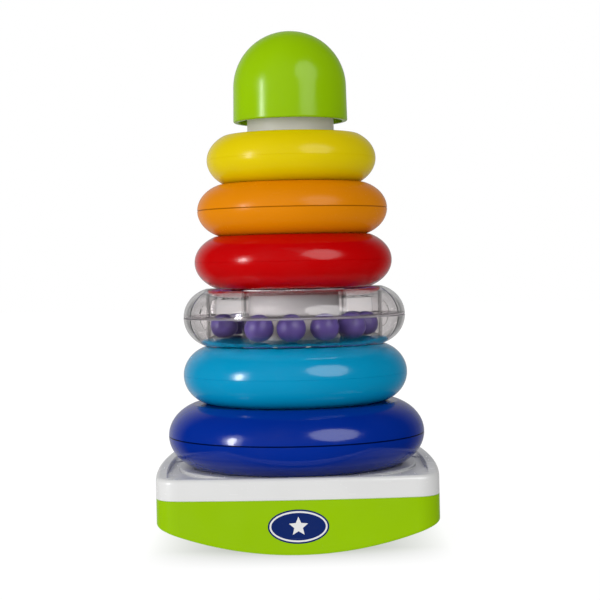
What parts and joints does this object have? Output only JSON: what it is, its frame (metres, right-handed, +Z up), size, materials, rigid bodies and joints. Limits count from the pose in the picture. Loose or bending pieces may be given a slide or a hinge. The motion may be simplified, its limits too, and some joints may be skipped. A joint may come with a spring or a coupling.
{
  "type": "stacking ring toy",
  "caption": "Baby stacking toy: hollow rings of falling size lift off a tapered post under a domed cap, on a square base that rocks on its curved underside.",
  "frame": {"origin": "on the floor straight below the post's axis, midway along the line on which the rocker stands", "axes": "+Z up along the post's axis, -Y towards the front, which carries the oval badge, +X along the rocking direction"},
  "size_m": [0.137, 0.132, 0.2497],
  "materials": {
    "green_plastic": "glossy moulded ABS, lime green",
    "white_plastic": "glossy moulded ABS, white",
    "blue_plastic": "glossy moulded ABS, deep blue",
    "light_blue_plastic": "glossy moulded ABS, sky blue",
    "clear_plastic": "clear glossy moulded plastic",
    "red_plastic": "glossy moulded ABS, red",
    "orange_plastic": "glossy moulded ABS, orange",
    "yellow_plastic": "glossy moulded ABS, yellow",
    "purple_plastic": "glossy moulded plastic, purple",
    "badge_navy": "glossy moulded plastic, navy",
    "badge_white": "glossy moulded plastic, white",
    "screw_steel": "zinc-plated steel"
  },
  "bodies": {
    "base": {"rocker_shell": "green_plastic", "base_cover": "white_plastic", "base_screws": "screw_steel", "front_badge": "badge_navy", "front_badge_inlay": "badge_white", "post": "white_plastic"},
    "blue_ring": {"blue_ring_lower_half": "blue_plastic", "blue_ring_upper_half": "blue_plastic"},
    "light_blue_ring": {"light_blue_ring_lower_half": "light_blue_plastic", "light_blue_ring_upper_half": "light_blue_plastic"},
    "clear_ring": {"clear_ring_lower_half": "clear_plastic", "clear_ring_upper_half": "clear_plastic"},
    "red_ring": {"red_ring_lower_half": "red_plastic", "red_ring_upper_half": "red_plastic"},
    "orange_ring": {"orange_ring_lower_half": "orange_plastic", "orange_ring_upper_half": "orange_plastic"},
    "yellow_ring": {"yellow_ring_lower_half": "yellow_plastic", "yellow_ring_upper_half": "yellow_plastic"},
    "bead_01_ball": {"bead_01": "purple_plastic"},
    "bead_02_ball": {"bead_02": "purple_plastic"},
    "bead_03_ball": {"bead_03": "purple_plastic"},
    "bead_04_ball": {"bead_04": "purple_plastic"},
    "bead_05_ball": {"bead_05": "purple_plastic"},
    "bead_06_ball": {"bead_06": "purple_plastic"},
    "bead_07_ball": {"bead_07": "purple_plastic"},
    "bead_08_ball": {"bead_08": "purple_plastic"},
    "bead_09_ball": {"bead_09": "purple_plastic"},
    "bead_10_ball": {"bead_10": "purple_plastic"},
    "cap_body": {"cap": "green_plastic"}
  },
  "joints": [
    {"name": "blue_ring_lift", "type": "slide", "parent": "base", "child": "blue_ring", "axis": [0, 0, 1], "range_m": [0, 0.201]},
    {"name": "light_blue_ring_lift", "type": "slide", "parent": "blue_ring", "child": "light_blue_ring", "axis": [0, 0, 1], "range_m": [0, 0.169]},
    {"name": "clear_ring_lift", "type": "slide", "parent": "light_blue_ring", "child": "clear_ring", "axis": [0, 0, 1], "range_m": [0, 0.141]},
    {"name": "red_ring_lift", "type": "slide", "parent": "clear_ring", "child": "red_ring", "axis": [0, 0, 1], "range_m": [0, 0.112]},
    {"name": "orange_ring_lift", "type": "slide", "parent": "red_ring", "child": "orange_ring", "axis": [0, 0, 1], "range_m": [0, 0.087]},
    {"name": "yellow_ring_lift", "type": "slide", "parent": "orange_ring", "child": "yellow_ring", "axis": [0, 0, 1], "range_m": [0, 0.061]},
    {"name": "cap_lift", "type": "slide", "parent": "yellow_ring", "child": "cap_body", "axis": [0, 0, 1], "range_m": [0, 0.03]},
    {"name": "bead_01_roll", "type": "hinge", "parent": "clear_ring", "child": "bead_01_ball", "pos_m": [0, 0, 0.1025], "axis": [0, 0, 1], "range_deg": [-6.2, 6.2]},
    {"name": "bead_02_roll", "type": "hinge", "parent": "clear_ring", "child": "bead_02_ball", "pos_m": [0, 0, 0.1025], "axis": [0, 0, 1], "range_deg": [-6.2, 16.9]},
    {"name": "bead_03_roll", "type": "hinge", "parent": "clear_ring", "child": "bead_03_ball", "pos_m": [0, 0, 0.1025], "axis": [0, 0, 1], "range_deg": [-16.9, 1.2]},
    {"name": "bead_04_roll", "type": "hinge", "parent": "clear_ring", "child": "bead_04_ball", "pos_m": [0, 0, 0.1025], "axis": [0, 0, 1], "range_deg": [-1.2, 1.4]},
    {"name": "bead_05_roll", "type": "hinge", "parent": "clear_ring", "child": "bead_05_ball", "pos_m": [0, 0, 0.1025], "axis": [0, 0, 1], "range_deg": [-1.4, 1.4]},
    {"name": "bead_06_roll", "type": "hinge", "parent": "clear_ring", "child": "bead_06_ball", "pos_m": [0, 0, 0.1025], "axis": [0, 0, 1], "range_deg": [-1.4, 6.9]},
    {"name": "bead_07_roll", "type": "hinge", "parent": "clear_ring", "child": "bead_07_ball", "pos_m": [0, 0, 0.1025], "axis": [0, 0, 1], "range_deg": [-6.9, 5.2]},
    {"name": "bead_08_roll", "type": "hinge", "parent": "clear_ring", "child": "bead_08_ball", "pos_m": [0, 0, 0.1025], "axis": [0, 0, 1], "range_deg": [-5.2, 3.2]},
    {"name": "bead_09_roll", "type": "hinge", "parent": "clear_ring", "child": "bead_09_ball", "pos_m": [0, 0, 0.1025], "axis": [0, 0, 1], "range_deg": [-3.2, 13.2]},
    {"name": "bead_10_roll", "type": "hinge", "parent": "clear_ring", "child": "bead_10_ball", "pos_m": [0, 0, 0.1025], "axis": [0, 0, 1], "range_deg": [-13.2, 6.2]}
  ]
}
